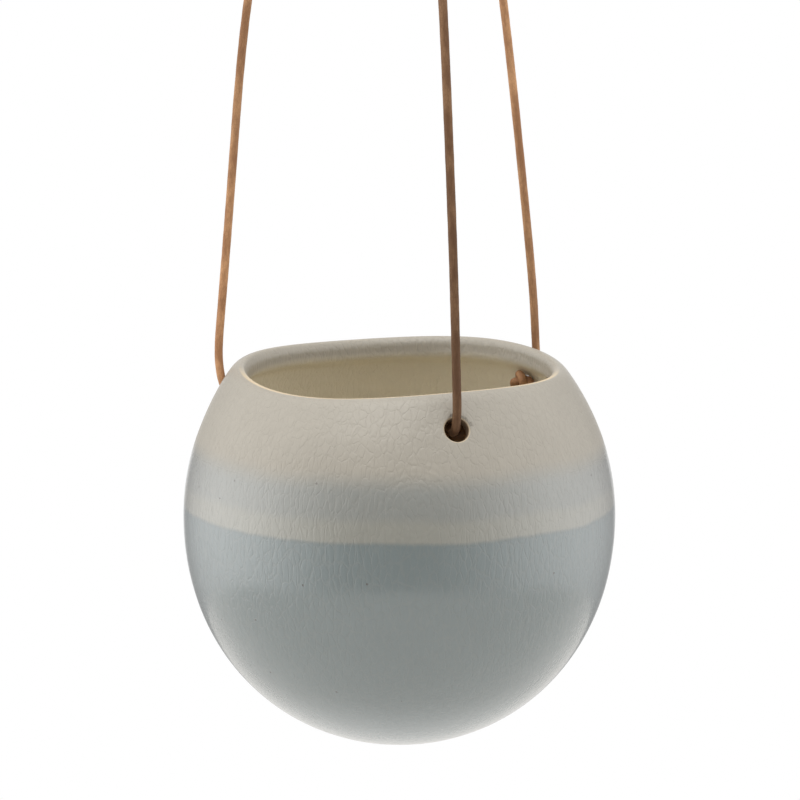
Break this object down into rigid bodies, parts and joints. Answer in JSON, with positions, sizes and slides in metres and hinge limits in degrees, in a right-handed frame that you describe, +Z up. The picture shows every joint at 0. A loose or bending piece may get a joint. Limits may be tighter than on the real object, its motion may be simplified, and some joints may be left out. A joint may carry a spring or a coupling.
{
  "type": "hanging planter",
  "caption": "Round glazed ceramic planter hung on leather cords, each held by a stopper knot inside its wall and gathered in a knot with a hanging loop.",
  "frame": {"origin": "inner crown of the hanging loop, where the hook bears", "axes": "+Z up along the pot's axis, -Y to the front, +X to the right"},
  "size_m": [0.156, 0.156, 0.4458],
  "materials": {
    "glaze": "satin",
    "leather": "satin"
  },
  "bodies": {
    "hanger": {"hanging_loop": "leather"},
    "gather": {"gather_knot": "leather"},
    "planter": {"pot": "glaze", "cord_left": "leather", "cord_front": "leather", "cord_back": "leather", "stopper_knot_left": "leather", "stopper_knot_front": "leather", "stopper_knot_back": "leather"}
  },
  "joints": [
    {"name": "sway_front_back", "type": "hinge", "parent": "hanger", "child": "gather", "pos_m": [0, 0, -0.0385], "axis": [1, 0, 0], "range_deg": [-20, 20]},
    {"name": "sway_side_side", "type": "hinge", "parent": "gather", "child": "planter", "pos_m": [0, 0, -0.0385], "axis": [0, 1, 0], "range_deg": [-20, 20]}
  ]
}
